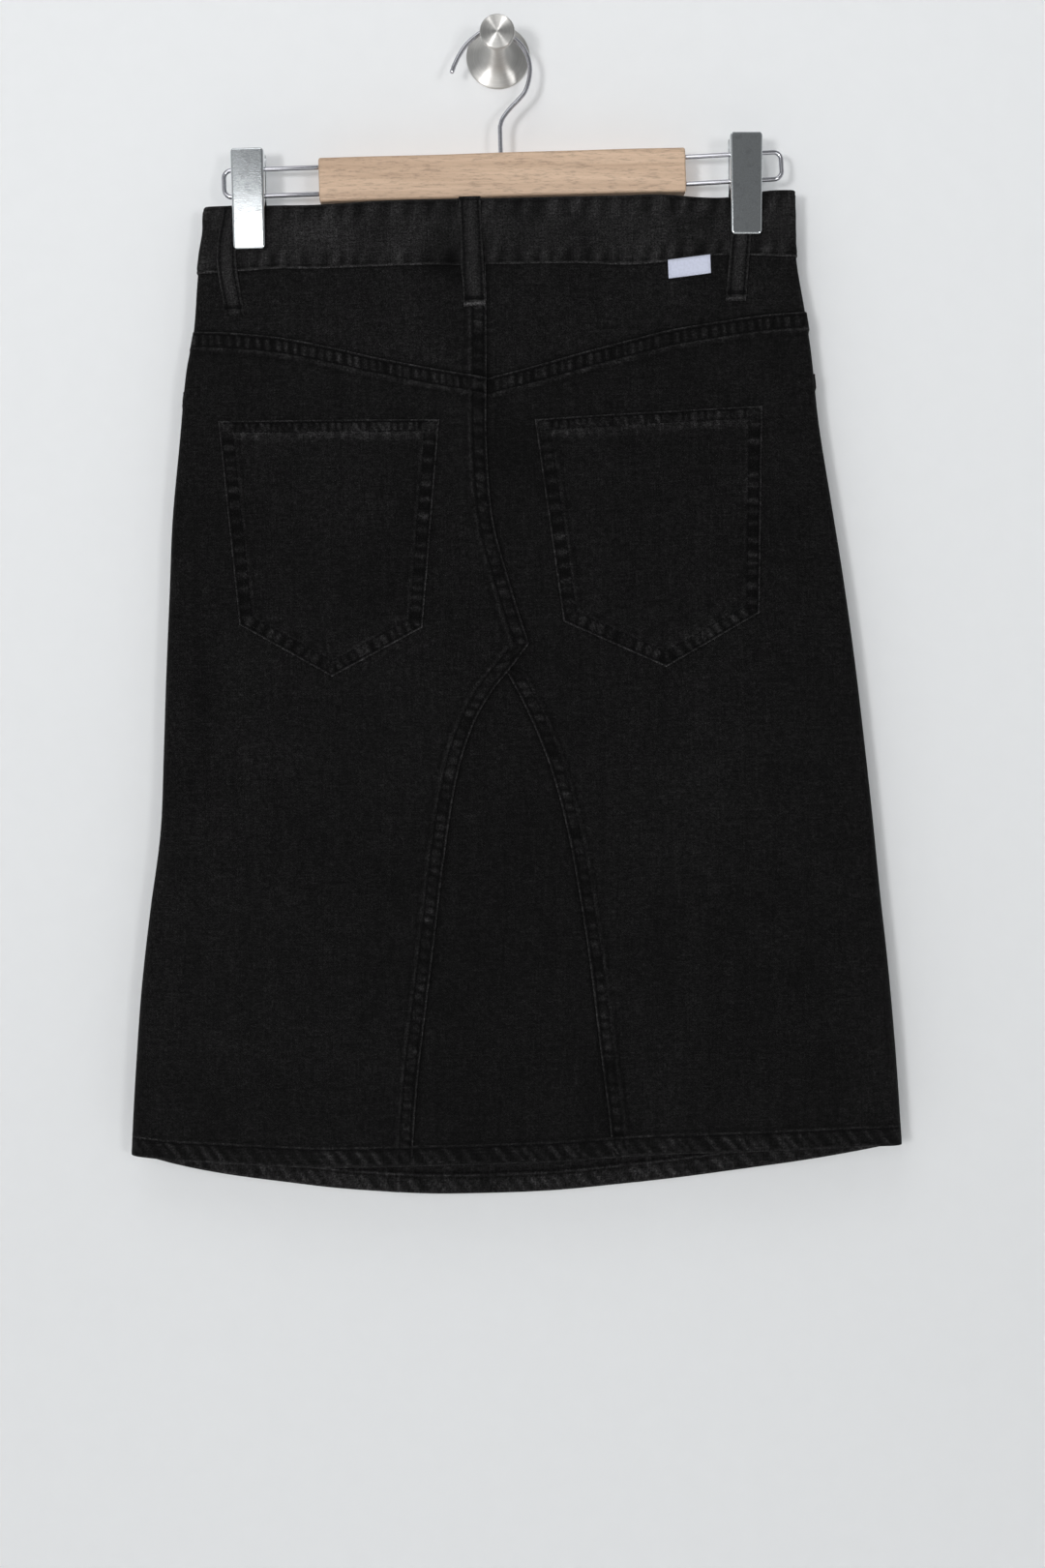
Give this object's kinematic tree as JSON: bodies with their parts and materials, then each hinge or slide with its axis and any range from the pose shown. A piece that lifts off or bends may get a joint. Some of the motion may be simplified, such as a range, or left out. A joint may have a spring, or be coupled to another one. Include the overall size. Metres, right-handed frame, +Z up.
{
  "type": "denim skirt on a clip hanger with a wall knob",
  "caption": "Knee-length A-line denim skirt with back patch pockets, yoke and gussets, clipped to a wooden hanger that hangs on a wall knob.",
  "frame": {"origin": "centre of the wall knob's back face, where it lies on the wall", "axes": "+Z up; +Y into the wall, so the wall is the plane y = 0; +X to the right for someone who faces the wall. The skirt's back faces -Y."},
  "size_m": [0.4952, 0.0515, 0.7619],
  "materials": {
    "denim": "washed black denim twill, matt, rubbed lighter along seams and edges",
    "woven_tab": "plain pale woven tape",
    "zip_tape": "black woven zip tape",
    "button_metal": "dull pressed metal",
    "steel": "polished nickel-plated steel",
    "knob_steel": "spun brushed stainless steel",
    "wood": "pale beech with a thin satin lacquer"
  },
  "bodies": {
    "root": {"back_gusset": "denim", "back_panel_left": "denim", "back_panel_right": "denim", "back_pocket_left": "denim", "back_pocket_right": "denim", "back_yoke_left": "denim", "back_yoke_right": "denim", "belt_loop_back_centre": "denim", "belt_loop_back_left": "denim", "belt_loop_back_right": "denim", "belt_loop_front_left": "denim", "belt_loop_front_right": "denim", "clip_left_outer_jaw": "steel", "clip_left_spring": "steel", "clip_left_wall_jaw": "steel", "clip_right_outer_jaw": "steel", "clip_right_spring": "steel", "clip_right_wall_jaw": "steel", "fly_shield": "denim", "fly_zip": "zip_tape", "front_gusset": "denim", "front_panel_left": "denim", "front_panel_right": "denim", "front_pocket_facing_left": "denim", "front_pocket_facing_right": "denim", "hanger_bar": "wood", "hanger_hook": "steel", "runner_left": "steel", "runner_right": "steel", "side_tab": "woven_tab", "waist_button": "button_metal", "waistband_back": "denim", "waistband_front_left": "denim", "waistband_front_right": "denim", "wall_knob": "knob_steel"}
  },
  "joints": []
}
